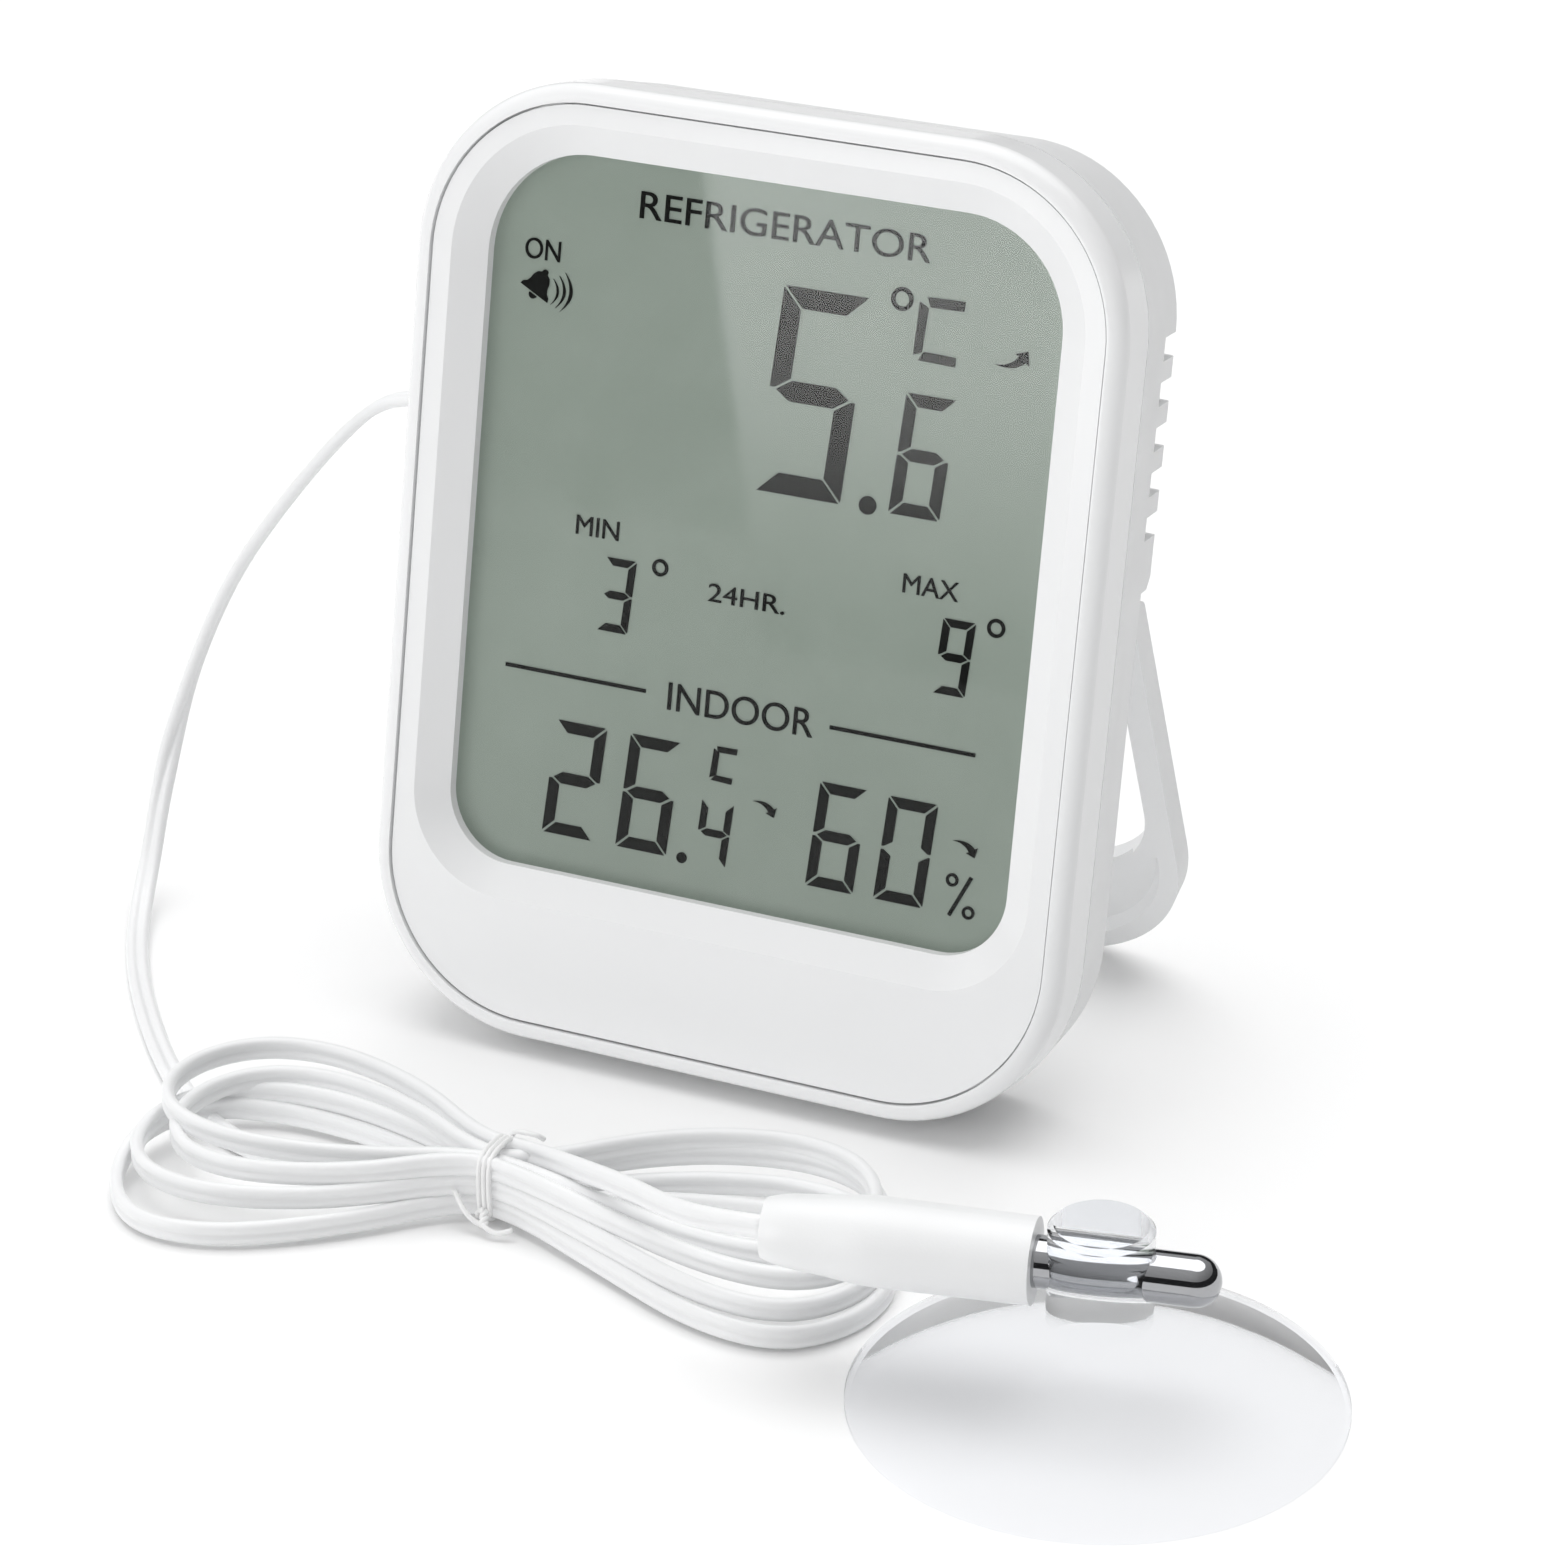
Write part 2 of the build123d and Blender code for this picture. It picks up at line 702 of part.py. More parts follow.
sleeve_mouth = PROBE.from_local_coords((sleeve_start - 0.15, 0, 0))
tail_route = [
    sleeve_mouth,
    PROBE.from_local_coords((sleeve_start - 7.0, 0, 0)),
    Vector(12.4, -58.2, 10.8),
    Vector(4.8, -54.2, 9.0),
    Vector(-2.6, -50.8, 5.9),
]
cord_tail = cord_tube(tail_route, "cord_tail")
save(cord_tail, "cord_tail")

# The tie's band goes once round the hank, with a knot low on its near side.
tie_x, tie_y, tie_z = -6.3, -49.3, 3.78
tie_w = 3.0
tie_outer_y, tie_outer_z, tie_outer_r = 7.0, 7.3, 2.0
tie_inner_y, tie_inner_z = 5.6, 6.6
knot_x, knot_z = -5.7, 2.0
knot_r = 1.0
knot_l = 1.4

with BuildPart() as twist_tie:
    with BuildSketch(Plane.YZ.offset(tie_x - tie_w / 2)):
        with Locations((tie_y, tie_z)):
            RectangleRounded(tie_outer_y, tie_outer_z, tie_outer_r)
            RectangleRounded(
                tie_inner_y, tie_inner_z, hank_corner, mode=Mode.SUBTRACT
            )
    extrude(amount=tie_w)
    with BuildSketch(Plane.XZ.offset(tie_outer_y / 2 - 0.2 - tie_y)):
        with Locations((knot_x, knot_z)):
            Circle(knot_r)
    extrude(amount=knot_l)
save(twist_tie, "twist_tie")

# === Probe and suction cup ================================================

with BuildPart() as probe_sleeve:
    with BuildSketch(PROBE):
        with BuildLine():
            Line((sleeve_start, 0), (sleeve_start, sleeve_neck_r))
            Spline(
                (sleeve_start, sleeve_neck_r),
                (sleeve_start + 5.0, sleeve_r - 0.45),
                (sleeve_start + 10.0, sleeve_r),
                tangents=[(1, 0.4), (1, 0)],
            )
            Line((sleeve_start + 10.0, sleeve_r), (sleeve_end, sleeve_r - 0.1))
            Line((sleeve_end, sleeve_r - 0.1), (sleeve_end, tube_r))
            Line((sleeve_end, tube_r), (sleeve_end - 8, tube_r))
            Line((sleeve_end - 8, tube_r), (sleeve_end - 8, 0))
            Line((sleeve_end - 8, 0), (sleeve_start, 0))
        make_face()
    revolve(axis=Axis(PROBE.origin, PROBE.x_dir))
save(probe_sleeve, "probe_sleeve")

bore_r = 1.8

with BuildPart() as probe_tube:
    with BuildSketch(PROBE):
        with BuildLine():
            Line((sleeve_end - 8, bore_r), (sleeve_end - 8, tube_r))
            Line((sleeve_end - 8, tube_r), (tube_end - tube_r, tube_r))
            RadiusArc((tube_end - tube_r, tube_r), (tube_end, 0), tube_r)
            Line((tube_end, 0), (tube_end - tube_r + bore_r, 0))
            RadiusArc((tube_end - tube_r + bore_r, 0), (tube_end - tube_r, bore_r), -bore_r)
            Line((tube_end - tube_r, bore_r), (sleeve_end - 8, bore_r))
        make_face()
    revolve(axis=Axis(PROBE.origin, PROBE.x_dir))
save(probe_tube, "probe_tube")

with BuildPart() as thermistor_bead:
    with BuildSketch(PROBE_END.offset(sleeve_end - 7.6)):
        Circle(bore_r - 0.03)
    extrude(amount=tube_end - tube_r - sleeve_end + 7.4)
save(thermistor_bead, "thermistor_bead")

lip_t = 0.5
hollow_h = 6.8
CUP = Plane(origin=(cup_x, cup_y, 0), x_dir=(1, 0, 0), z_dir=(0, -1, 0))

with BuildPart() as suction_cup:
    with BuildSketch(CUP):
        with BuildLine():
            Line((0, hollow_h), (0, knob_top))
            Line((0, knob_top), (knob_r - 0.5, knob_top))
            Line((knob_r - 0.5, knob_top), (knob_r, knob_top - 0.5))
            Line((knob_r, knob_top - 0.5), (knob_r, dome_h))
            ThreePointArc((knob_r, dome_h), (13.2, 5.1), (cup_r, lip_t))
            Line((cup_r, lip_t), (cup_r, 0.03))
            Line((cup_r, 0.03), (cup_r - 0.5, 0.03))
            ThreePointArc((cup_r - 0.5, 0.03), (12.4, 4.2), (3, hollow_h))
            Line((3, hollow_h), (0, hollow_h))
        make_face()
    revolve(axis=Axis((cup_x, cup_y, 0), (0, 0, 1)))
    with BuildSketch(PROBE_END.offset(-8)):
        Circle(tube_r + 0.06)
    extrude(amount=16, mode=Mode.SUBTRACT)
save(suction_cup, "suction_cup")
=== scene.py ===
import json
import math

import bmesh
import bpy
import numpy as np
from mathutils import Matrix, Vector


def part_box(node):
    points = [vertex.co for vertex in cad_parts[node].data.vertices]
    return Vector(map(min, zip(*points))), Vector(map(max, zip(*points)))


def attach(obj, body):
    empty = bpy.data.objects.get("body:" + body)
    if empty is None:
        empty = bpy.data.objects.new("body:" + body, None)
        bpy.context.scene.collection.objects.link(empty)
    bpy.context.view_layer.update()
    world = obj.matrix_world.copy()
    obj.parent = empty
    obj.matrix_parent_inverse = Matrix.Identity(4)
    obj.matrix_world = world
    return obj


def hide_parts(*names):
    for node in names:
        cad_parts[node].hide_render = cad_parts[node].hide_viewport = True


# A maximum minimum thermometer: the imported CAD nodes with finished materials,
# and the twin cord, the wire tie and the display's segments as their own pieces.
# Metres; +X to the display's right, -Y in front of it, +Z up.

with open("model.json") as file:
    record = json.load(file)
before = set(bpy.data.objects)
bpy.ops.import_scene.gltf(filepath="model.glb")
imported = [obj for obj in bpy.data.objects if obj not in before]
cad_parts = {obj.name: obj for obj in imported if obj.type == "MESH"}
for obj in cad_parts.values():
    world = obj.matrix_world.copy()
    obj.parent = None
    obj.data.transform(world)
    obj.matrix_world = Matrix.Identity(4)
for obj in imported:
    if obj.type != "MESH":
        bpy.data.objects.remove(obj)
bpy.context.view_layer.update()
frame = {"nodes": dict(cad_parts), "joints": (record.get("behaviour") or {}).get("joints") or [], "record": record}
MM = 0.001

# --- The case's own axes: x, up the face, and depth behind the front panel ---
press = next(j for j in frame["joints"] if j["name"].startswith("press_"))
FRONT = Vector(press["axis"]).normalized()
RIGHT = Vector((1.0, 0.0, 0.0))
UP = FRONT.cross(RIGHT)


def reach(name, axis):
    """How far a node reaches along an axis, lowest and highest."""
    heights = [axis.dot(v.co) for v in frame["nodes"][name].data.vertices]
    return min(heights), max(heights)


panel_low, panel_high = reach("front_bezel", UP)
FACE = UP * (panel_low + panel_high) / 2 + FRONT * reach("front_bezel", FRONT)[1]


def on_face(x, y, depth):
    """A point in the case's own axes, given in millimetres."""
    return FACE + (RIGHT * x + UP * y - FRONT * depth) * MM


# --- Camera ---------------------------------------------------------------
camera_at = Vector((0.189727, -0.405239, 0.237601))
camera_right = Vector((0.905236, 0.424898, -0.003107))
camera_back = Vector((0.384103, -0.815153, 0.433578)).normalized()
camera_up = camera_back.cross(camera_right).normalized()
camera_right = camera_up.cross(camera_back)

camera = bpy.data.objects.new("camera", bpy.data.cameras.new("camera"))
bpy.context.collection.objects.link(camera)
camera.data.lens = 120.72
camera.data.sensor_width = 36.0
camera.data.clip_start = 0.01
turn = Matrix((camera_right, camera_up, camera_back)).transposed()
camera.matrix_world = Matrix.Translation(camera_at) @ turn.to_4x4()
bpy.context.scene.camera = camera
bpy.context.scene.view_settings.view_transform = "Standard"


# --- Materials --------------------------------------------------------------
noise_low, noise_high = 0.3, 0.7  # nearly all of a noise lies between these
pane_bend = 1.22
film_bend = 1.05
film_blend = 0.3
film_face, film_edge = (0.968, 0.97, 0.975), (0.89, 0.893, 0.9)
film_edge_from = 0.7  # the film darkens from here to edge-on
knob_from = 0.0085  # height on the cup where its thick knob starts


def shader(name, settings):
    """A node material: its tree, and a Principled shader with these sockets set."""
    material = bpy.data.materials.new(name)
    material.use_nodes = True
    tree = material.node_tree
    main = tree.nodes["Principled BSDF"]
    for socket, value in settings.items():
        main.inputs[socket].default_value = value
    return material, tree, main


def noise(tree, scale, detail=2.0):
    """Noise in the object's own metres."""
    place = tree.nodes.new("ShaderNodeTexCoord")
    texture = tree.nodes.new("ShaderNodeTexNoise")
    texture.inputs["Scale"].default_value = scale
    texture.inputs["Detail"].default_value = detail
    tree.links.new(place.outputs["Object"], texture.inputs["Vector"])
    return texture.outputs["Fac"]


def ramp(tree, factor, low, high, start=noise_low, end=noise_high):
    """A colour ramp between two colours over part of a factor's range."""
    mix = tree.nodes.new("ShaderNodeValToRGB")
    mix.color_ramp.elements[0].position = start
    mix.color_ramp.elements[1].position = end
    mix.color_ramp.elements[0].color = (*low, 1.0)
    mix.color_ramp.elements[1].color = (*high, 1.0)
    tree.links.new(factor, mix.inputs["Fac"])
    return mix.outputs["Color"]


def spread(tree, factor, low, high):
    """A factor's middle range mapped between two numbers."""
    change = tree.nodes.new("ShaderNodeMapRange")
    change.inputs["From Min"].default_value = noise_low
    change.inputs["From Max"].default_value = noise_high
    change.inputs["To Min"].default_value = low
    change.inputs["To Max"].default_value = high
    tree.links.new(factor, change.inputs["Value"])
    return change.outputs["Result"]


def bump(tree, main, height, strength, distance):
    """Relief from a height, onto a shader's normal."""
    relief = tree.nodes.new("ShaderNodeBump")
    relief.inputs["Strength"].default_value = strength
    relief.inputs["Distance"].default_value = distance
    tree.links.new(height, relief.inputs["Height"])
    tree.links.new(relief.outputs["Normal"], main.inputs["Normal"])


def finish_material(name, colour, rough, grain, relief, vary=0.03, blotch=60.0, **settings):
    """Moulded or metal stock: slight colour drift, uneven gloss, and a fine grain."""
    material, tree, main = shader(name, settings)
    dark = tuple(c * (1 - vary) for c in colour)
    tree.links.new(
        ramp(tree, noise(tree, blotch, 3.0), dark, colour), main.inputs["Base Color"]
    )
    gloss = spread(tree, noise(tree, blotch * 5), rough * 0.88, rough * 1.12)
    tree.links.new(gloss, main.inputs["Roughness"])
    bump(tree, main, noise(tree, grain, 1.0), relief, 0.0001)
    return material


def brushed(name, colour, rough, stretch, **settings):
    """Drawn or turned metal: fine scratches that run one way."""
    material, tree, main = shader(name, {"Metallic": 1.0, **settings})
    place = tree.nodes.new("ShaderNodeTexCoord")
    pull = tree.nodes.new("ShaderNodeMapping")
    pull.inputs["Scale"].default_value = stretch
    tree.links.new(place.outputs["Object"], pull.inputs["Vector"])
    lines = tree.nodes.new("ShaderNodeTexNoise")
    lines.inputs["Scale"].default_value = 1.0
    lines.inputs["Detail"].default_value = 3.0
    tree.links.new(pull.outputs["Vector"], lines.inputs["Vector"])
    dark = tuple(c * 0.93 for c in colour)
    tree.links.new(
        ramp(tree, lines.outputs["Fac"], dark, colour), main.inputs["Base Color"]
    )
    gloss = spread(tree, lines.outputs["Fac"], rough * 0.7, rough * 1.3)
    tree.links.new(gloss, main.inputs["Roughness"])
    return material


def clear_material(name, tint, rough, bend, thick_from):
    """Clear vinyl: its thick knob, above a height, bends light; the thin cup is a film."""
    material, tree, main = shader(name, {"Transmission Weight": 1.0, "IOR": bend})
    cloudy = tuple(c * 0.97 for c in tint)
    tree.links.new(
        ramp(tree, noise(tree, 140.0, 2.0), cloudy, tint), main.inputs["Base Color"]
    )
    gloss = spread(tree, noise(tree, 300.0), rough * 0.6, rough * 1.4)
    tree.links.new(gloss, main.inputs["Roughness"])
    film = tree.nodes.new("ShaderNodeBsdfTransparent")
    edge_on = tree.nodes.new("ShaderNodeLayerWeight")
    edge_on.inputs["Blend"].default_value = film_blend
    edge_shade = ramp(tree, edge_on.outputs["Facing"], film_face, film_edge, film_edge_from, 1.0)
    tree.links.new(edge_shade, film.inputs["Color"])
    shine = tree.nodes.new("ShaderNodeBsdfGlossy")
    haze = spread(tree, noise(tree, 200.0), 0.4, 0.5)
    tree.links.new(haze, shine.inputs["Roughness"])
    angle = tree.nodes.new("ShaderNodeFresnel")
    angle.inputs["IOR"].default_value = film_bend
    thin = tree.nodes.new("ShaderNodeMixShader")
    tree.links.new(angle.outputs["Fac"], thin.inputs[0])
    tree.links.new(film.outputs["BSDF"], thin.inputs[1])
    tree.links.new(shine.outputs["BSDF"], thin.inputs[2])
    path = tree.nodes.new("ShaderNodeLightPath")
    passing = tree.nodes.new("ShaderNodeBsdfTransparent")
    passing.inputs["Color"].default_value = (0.93, 0.935, 0.94, 1.0)
    thick = tree.nodes.new("ShaderNodeMixShader")
    tree.links.new(path.outputs["Is Shadow Ray"], thick.inputs[0])
    tree.links.new(main.outputs["BSDF"], thick.inputs[1])
    tree.links.new(passing.outputs["BSDF"], thick.inputs[2])
    place = tree.nodes.new("ShaderNodeTexCoord")
    split = tree.nodes.new("ShaderNodeSeparateXYZ")
    tree.links.new(place.outputs["Object"], split.inputs["Vector"])
    high = tree.nodes.new("ShaderNodeMath")
    high.operation = "GREATER_THAN"
    high.inputs[1].default_value = thick_from
    tree.links.new(split.outputs["Z"], high.inputs[0])
    choose = tree.nodes.new("ShaderNodeMixShader")
    tree.links.new(high.outputs["Value"], choose.inputs[0])
    tree.links.new(thin.outputs["Shader"], choose.inputs[1])
    tree.links.new(thick.outputs["Shader"], choose.inputs[2])
    out = tree.nodes["Material Output"]
    tree.links.new(choose.outputs["Shader"], out.inputs["Surface"])
    return material


def pane_material(name, rough):
    """A flat clear window: mostly see-through, with a sheet gloss by angle."""
    material, tree, main = shader(name, {"Metallic": 0.0})
    tree.nodes.remove(main)
    through = tree.nodes.new("ShaderNodeBsdfTransparent")
    through.inputs["Color"].default_value = (0.96, 0.965, 0.96, 1.0)
    shine = tree.nodes.new("ShaderNodeBsdfGlossy")
    gloss = spread(tree, noise(tree, 120.0), rough * 0.7, rough * 1.3)
    tree.links.new(gloss, shine.inputs["Roughness"])
    angle = tree.nodes.new("ShaderNodeFresnel")
    angle.inputs["IOR"].default_value = pane_bend
    choose = tree.nodes.new("ShaderNodeMixShader")
    out = tree.nodes["Material Output"]
    tree.links.new(angle.outputs["Fac"], choose.inputs[0])
    tree.links.new(through.outputs["BSDF"], choose.inputs[1])
    tree.links.new(shine.outputs["BSDF"], choose.inputs[2])
    tree.links.new(choose.outputs["Shader"], out.inputs["Surface"])
    return material


white = (0.86, 0.865, 0.87)
mats = {
    "white_gloss": finish_material(
        "white_gloss", white, 0.2, 900.0, 0.02, 0.012, **{"Specular IOR Level": 0.35}
    ),
    "white_case": finish_material("white_case", (0.76, 0.765, 0.77), 0.42, 5200.0, 0.12),
    "white_inner": finish_material("white_inner", (0.7, 0.71, 0.71), 0.55, 3600.0, 0.15),
    "clear_lens": pane_material("clear_lens", 0.03),
    "lcd_glass": finish_material(
        "lcd_glass", (0.39, 0.455, 0.40), 0.6, 2600.0, 0.004, 0.05, 45.0
    ),
    "lcd_ink": finish_material(
        "lcd_ink", (0.01, 0.011, 0.01), 0.7, 2600.0, 0.05, 0.2, **{"Specular IOR Level": 0.08}
    ),
    "black_rubber": finish_material("black_rubber", (0.02, 0.02, 0.02), 0.7, 3000.0, 0.3),
    "black_epoxy": finish_material("black_epoxy", (0.012, 0.012, 0.013), 0.3, 700.0, 0.4),
    "black_plastic": finish_material("black_plastic", (0.02, 0.02, 0.021), 0.45, 4000.0, 0.2),
    "board_green": finish_material(
        "board_green", (0.03, 0.13, 0.05), 0.35, 1600.0, 0.25, 0.35, 220.0
    ),
    "grey_button": finish_material("grey_button", (0.36, 0.37, 0.38), 0.5, 4200.0, 0.2),
    "white_rubber": finish_material("white_rubber", (0.8, 0.8, 0.8), 0.6, 2600.0, 0.2),
    "cord_white": finish_material("cord_white", (0.85, 0.855, 0.86), 0.34, 2200.0, 0.1, 0.02),
    "tie_white": finish_material("tie_white", (0.86, 0.86, 0.86), 0.42, 2600.0, 0.15),
    "sleeve_white": finish_material("sleeve_white", (0.84, 0.845, 0.85), 0.36, 4200.0, 0.08),
    "resin": finish_material("resin", (0.6, 0.52, 0.33), 0.3, 800.0, 0.3, 0.15),
    "cell_steel": brushed("cell_steel", (0.72, 0.72, 0.72), 0.3, (900.0, 900.0, 900.0)),
    "contact_nickel": brushed(
        "contact_nickel", (0.7, 0.68, 0.63), 0.25, (400.0, 400.0, 4000.0)
    ),
    "screw_steel": brushed("screw_steel", (0.6, 0.6, 0.6), 0.3, (3000.0, 3000.0, 500.0)),
    "polished_steel": brushed(
        "polished_steel", (0.42, 0.425, 0.44), 0.07, (150.0, 5000.0, 5000.0)
    ),
    "clear_pvc": clear_material("clear_pvc", (0.93, 0.94, 0.95), 0.03, 1.16, knob_from),
}

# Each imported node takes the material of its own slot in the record.
for row in frame["record"]["subparts"]:
    for spot in frame["nodes"][row["node"]].material_slots:
        spot.material = mats[row["material_slot"]]


# --- Mesh helpers -------------------------------------------------------------
def new_piece(name, points, faces, material, body, smooth=True):
    """A mesh piece with one material that rides on a body."""
    mesh = bpy.data.meshes.new(name)
    mesh.from_pydata([tuple(p) for p in points], [], faces)
    mesh.validate()
    mesh.materials.append(mats[material])
    piece = bpy.data.objects.new(name, mesh)
    bpy.context.collection.objects.link(piece)
    if smooth:
        mesh.shade_smooth()
    if body:
        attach(piece, body)
    return piece


def smooth_line(points, resolution):
    """The line of a quadratic NURBS spline with these control points, in millimetres."""
    curve = bpy.data.curves.new("line", "CURVE")
    curve.dimensions = "3D"
    curve.resolution_u = resolution
    spline = curve.splines.new("NURBS")
    spline.points.add(len(points) - 1)
    for spot, point in zip(spline.points, points):
        spot.co = (*(Vector(point) * MM), 1.0)
    spline.order_u = 3
    spline.use_endpoint_u = True
    holder = bpy.data.objects.new("line", curve)
    mesh = bpy.data.meshes.new_from_object(holder)
    line = np.array([v.co for v in mesh.vertices])
    bpy.data.objects.remove(holder)
    bpy.data.curves.remove(curve)
    bpy.data.meshes.remove(mesh)
    return line


def tangents(line):
    """Unit directions along a line of points."""
    steps = np.gradient(line, axis=0)
    return steps / np.linalg.norm(steps, axis=1)[:, None]


def swept(line, wide, outline):
    """Rings of an outline along a line, its first axis held towards a wide axis."""
    along = tangents(line)
    wide = wide - along * (wide * along).sum(1)[:, None]
    wide /= np.linalg.norm(wide, axis=1)[:, None]
    thin = np.cross(along, wide)
    count = len(outline)
    points = np.concatenate(
        [c + w * outline[:, :1] + t * outline[:, 1:] for c, w, t in zip(line, wide, thin)]
    )
    faces = []
    for ring in range(len(line) - 1):
        for k in range(count):
            a, b = ring * count + k, ring * count + (k + 1) % count
            faces.append((a, b, b + count, a + count))
    last = (len(line) - 1) * count
    faces.append(tuple(reversed(range(count))))
    faces.append(tuple(last + k for k in range(count)))
    return points, faces


def steady_wide(line):
    """A wide axis carried along a line with no twist of its own."""
    along = tangents(line)
    wide = [np.cross(along[0], (0.3, 0.5, 0.81))]
    for direction in along[1:]:
        side = wide[-1] - direction * wide[-1].dot(direction)
        wide.append(side / np.linalg.norm(side))
    return np.array(wide)


def circle(radius, count):
    """A round outline."""
    turns = np.arange(count) * 2 * math.pi / count
    return np.column_stack([np.cos(turns), np.sin(turns)]) * radius


# --- The cord: a white twin, from the gland to the probe's sleeve -----------------
# The same route as the CAD's, in millimetres, with the hank's own turns.
cord_wide, cord_thick = 2.2, 1.15
gland_low, gland_high = (np.array(corner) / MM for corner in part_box("cord_gland"))
gland_mouth = (gland_low[0], *((gland_low + gland_high) / 2)[1:])
lead_route = [
    gland_mouth,
    (-39.0, -1.9, 55.8),
    (-42.9, -1.9, 54.3),
    (-47.4, -1.9, 49.9),
    (-53.4, -1.9, 42.6),
    (-59.4, -2.0, 34.2),
    (-63.8, -2.4, 25.0),
    (-66.5, -3.4, 16.4),
    (-67.4, -5.2, 9.8),
    (-66.8, -8.4, 5.0),
    (-65.4, -12.8, 2.0),
    (-62.8, -18.2, 0.9),
    (-58.6, -24.8, 0.72),
    (-53.0, -32.0, 0.72),
    (-47.2, -38.6, 0.72),
    (-41.2, -44.4, 0.85),
    (-34.4, -49.2, 1.15),
    (-26.0, -51.4, 1.4),
    (-16.5, -50.6, 1.6),
]
tie_x, tie_y = -6.3, -49.3
tie_run = 2.6  # a strand runs straight this far each side of the tie
# Where each pass goes through the tie: across the bundle, and height.
passes = [
    (0.0, 1.75),
    (-1.5, 1.8),
    (1.5, 1.8),
    (-1.7, 3.85),
    (1.7, 3.85),
    (-1.9, 5.9),
    (0.75, 5.3),
    (-0.6, 5.5),
    (2.05, 5.9),
]
# Each lobe: its tip's x and y, near and far half widths, near and far sharpness, tip's z.
right_lobes = [
    (32.0, -50.0, 12.4, 10.2, 1.5, 1.1, 1.25),
    (31.0, -49.2, 11.3, 11.4, 1.5, 1.0, 2.9),
    (30.2, -47.6, 9.4, 12.0, 1.4, 0.9, 4.4),
    (29.0, -46.4, 8.2, 11.6, 1.3, 0.9, 5.8),
]
left_lobes = [
    (-40.6, -57.6, 11.6, 11.4, 1.2, 1.0, 1.25),
    (-40.4, -53.9, 9.4, 9.5, 1.0, 1.0, 3.2),
    (-37.6, -51.0, 8.8, 9.0, 1.0, 1.0, 4.6),
    (-40.0, -48.2, 8.0, 9.4, 1.0, 1.0, 6.0),
]
lobe_points = 8
# The lowest left lobe rises over the lead where it crosses it.
hump_height, hump_at, hump_reach = 1.6, 0.60, 0.10


def lobe(shape, leave, arrive, first_side, hump):
    """Control points of one loop, out from the tie and back to it."""
    tip_x, tip_y, near, far, near_sharp, far_sharp, tip_z = shape
    out = Vector((tip_x - tie_x, tip_y - tie_y))
    side_way = out.orthogonal().normalized()
    if side_way.y < 0:
        side_way = -side_way
    points = []
    for k in range(1, lobe_points + 1):
        t = k / (lobe_points + 1)
        reach_out, swing = math.sin(math.pi * t), math.cos(math.pi * t)
        side = first_side if swing > 0 else -first_side
        half, sharp = (far, far_sharp) if side > 0 else (near, near_sharp)
        across = side * 2 * half * reach_out**sharp * abs(swing)
        offset, height = leave if t < 0.5 else arrive
        hold = 1 - reach_out
        spot = Vector((tie_x, tie_y)) + out * reach_out + side_way * across
        lift = hump * math.exp(-(((t - hump_at) / hump_reach) ** 2))
        points.append(
            (spot.x, spot.y + offset * hold, tip_z + (height - tip_z) * hold + lift)
        )
    return points


def through_tie(index, way):
    """The two points of one pass through the tie."""
    offset, height = passes[index]
    return [(tie_x + end * tie_run * way, tie_y + offset, height) for end in (-1, 1)]


cord_route = list(lead_route)
for number, (right, left) in enumerate(zip(right_lobes, left_lobes)):
    start, middle, end = passes[2 * number : 2 * number + 3]
    cord_route += through_tie(2 * number, 1)
    cord_route += lobe(right, start, middle, 1, 0.0)
    cord_route += through_tie(2 * number + 1, -1)
    cord_route += lobe(left, middle, end, -1, 0.0 if number else hump_height)
cord_route += through_tie(len(passes) - 1, 1)

probe_way = Vector(next(j for j in frame["joints"] if j["name"] == "probe_turn")["axis"])
cup_low, cup_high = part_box("suction_cup")
cup_mid = (Vector(cup_low) + Vector(cup_high)) / 2 / MM
sleeve_low = reach("probe_sleeve", probe_way)[0]
tube_box = [np.array(corner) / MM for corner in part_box("probe_tube")]
probe_z = (tube_box[0][2] + tube_box[1][2]) / 2
probe_mid = Vector((cup_mid.x, cup_mid.y, probe_z))
mouth_at = sleeve_low / MM - probe_way.dot(probe_mid)


def on_probe(along):
    """A point on the probe's axis, this far from the knob's middle."""
    return tuple(probe_mid + probe_way * along)


cord_route += [
    (3.0, -51.2, 7.9),
    (9.2, -54.2, 9.2),
    (14.8, -57.9, 10.6),
    (20.0, -61.4, 12.5),
    on_probe(mouth_at + 0.3),
]
cord_line = smooth_line(cord_route, 10)
cord_steps = np.linalg.norm(np.diff(cord_line, axis=0), axis=1)


def eased(value, start, end):
    """A smooth step of an array from 0 to 1 between two values."""
    t = np.clip((value - start) / (end - start), 0.0, 1.0)
    return (t * t * (3 - 2 * t))[:, None]


# The lead hangs with its wide side along Y, lies flat on the table, and the
# rest stands on edge.
travel = np.concatenate([[0.0], np.cumsum(cord_steps)]) / MM


def travel_near(spot):
    """How far along the cord its line is nearest a place in metres, by summed axes."""
    return travel[np.argmin(np.abs(cord_line - np.array(spot)).sum(1))]


floor_from = travel_near((-0.0472, -0.0386, 0.0007))
floor_to = travel_near((-0.0260, -0.0514, 0.0013))
height = cord_line[:, 2] / MM
early = (travel < floor_to)[:, None]
axis_x, axis_y, axis_z = np.eye(3)
flat_way = np.cross(axis_z, tangents(cord_line))
flat_way /= np.linalg.norm(flat_way, axis=1)[:, None]
drop = eased(height, 25.0, 5.0)
land = eased(height, 6.0, 1.5)
rise = np.where(early, eased(travel, floor_from, floor_to), 1.0)
lying = axis_y * (1 - drop) + (axis_x * (1 - land) + flat_way * land) * drop
cord_turned = lying * (1 - rise) + axis_z * rise

